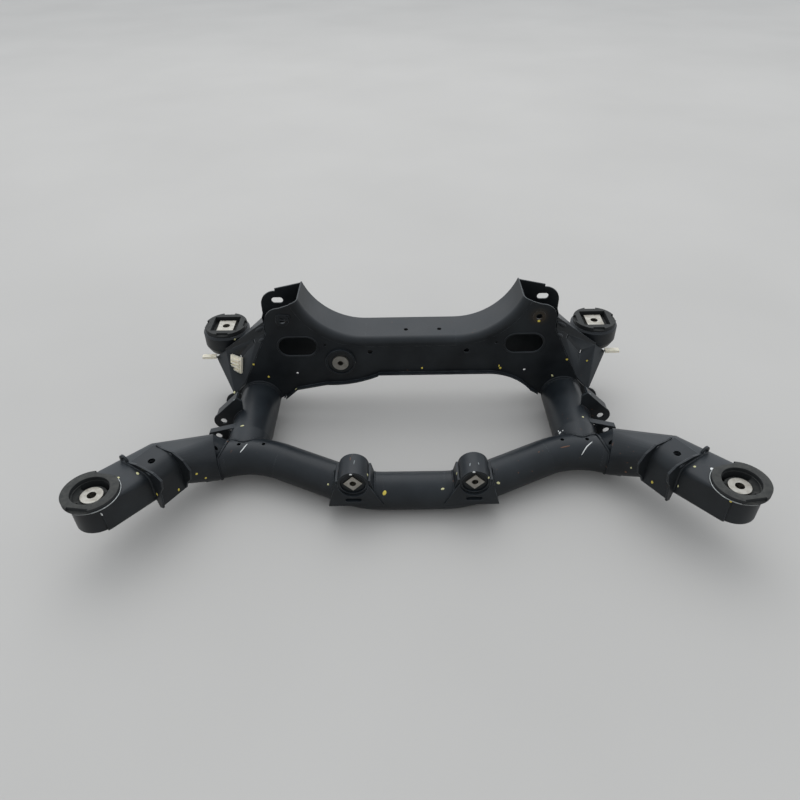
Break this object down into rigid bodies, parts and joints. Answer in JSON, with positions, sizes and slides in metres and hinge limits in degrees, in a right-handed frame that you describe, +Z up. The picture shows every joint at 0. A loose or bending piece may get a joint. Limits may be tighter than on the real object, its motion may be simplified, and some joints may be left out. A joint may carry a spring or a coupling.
{
  "type": "rear suspension subframe",
  "caption": "Welded rear suspension subframe: bent cross tube, side tubes, arms to bushed body mounts and a folded crossmember with link towers and differential bushes.",
  "frame": {"origin": "on the floor, below the middle of the outline", "axes": "+X to the right across the vehicle, +Y from the bent cross tube to the crossmember, +Z up"},
  "size_m": [1.244, 0.61, 0.3022],
  "materials": {
    "tube_paint": "satin black dip paint on tube",
    "pressing_paint": "satin black dip paint on pressed sheet",
    "rubber": "matt bush rubber",
    "bright_metal": "plain bright metal",
    "bush_can": "plain steel",
    "nylon": "cream nylon"
  },
  "bodies": {
    "root": {"cross_tube": "tube_paint", "side_tube_left": "tube_paint", "side_tube_right": "tube_paint", "arm_left": "tube_paint", "arm_right": "tube_paint", "near_housing_left": "tube_paint", "near_housing_right": "tube_paint", "near_can_left": "bush_can", "near_can_right": "bush_can", "near_rubber_left": "rubber", "near_rubber_right": "rubber", "near_sleeve_left": "bright_metal", "near_sleeve_right": "bright_metal", "saddle_outer_left": "pressing_paint", "saddle_outer_right": "pressing_paint", "saddle_inner_left": "pressing_paint", "saddle_inner_right": "pressing_paint", "saddle_skin_left": "pressing_paint", "saddle_skin_right": "pressing_paint", "crossmember_front": "pressing_paint", "crossmember_rear": "pressing_paint", "mount_plate_left": "pressing_paint", "mount_plate_right": "pressing_paint", "corner_panel_left": "pressing_paint", "corner_panel_right": "pressing_paint", "far_cup_left": "tube_paint", "far_cup_right": "tube_paint", "far_can_left": "bush_can", "far_can_right": "bush_can", "far_rubber_left": "rubber", "far_rubber_right": "rubber", "far_sleeve_left": "bright_metal", "far_sleeve_right": "bright_metal", "link_ear_front_left": "pressing_paint", "link_ear_front_right": "pressing_paint", "link_ear_rear_left": "pressing_paint", "link_ear_rear_right": "pressing_paint", "diff_bracket_left": "pressing_paint", "diff_bracket_right": "pressing_paint", "diff_housing_left": "tube_paint", "diff_housing_right": "tube_paint", "diff_rubber_left": "rubber", "diff_rubber_right": "rubber", "diff_core_left": "bright_metal", "diff_core_right": "bright_metal", "nose_housing": "tube_paint", "nose_rubber": "rubber", "nose_core": "bright_metal", "harness_clip": "nylon", "harness_tab_left": "nylon", "harness_tab_right": "nylon"}
  },
  "joints": []
}
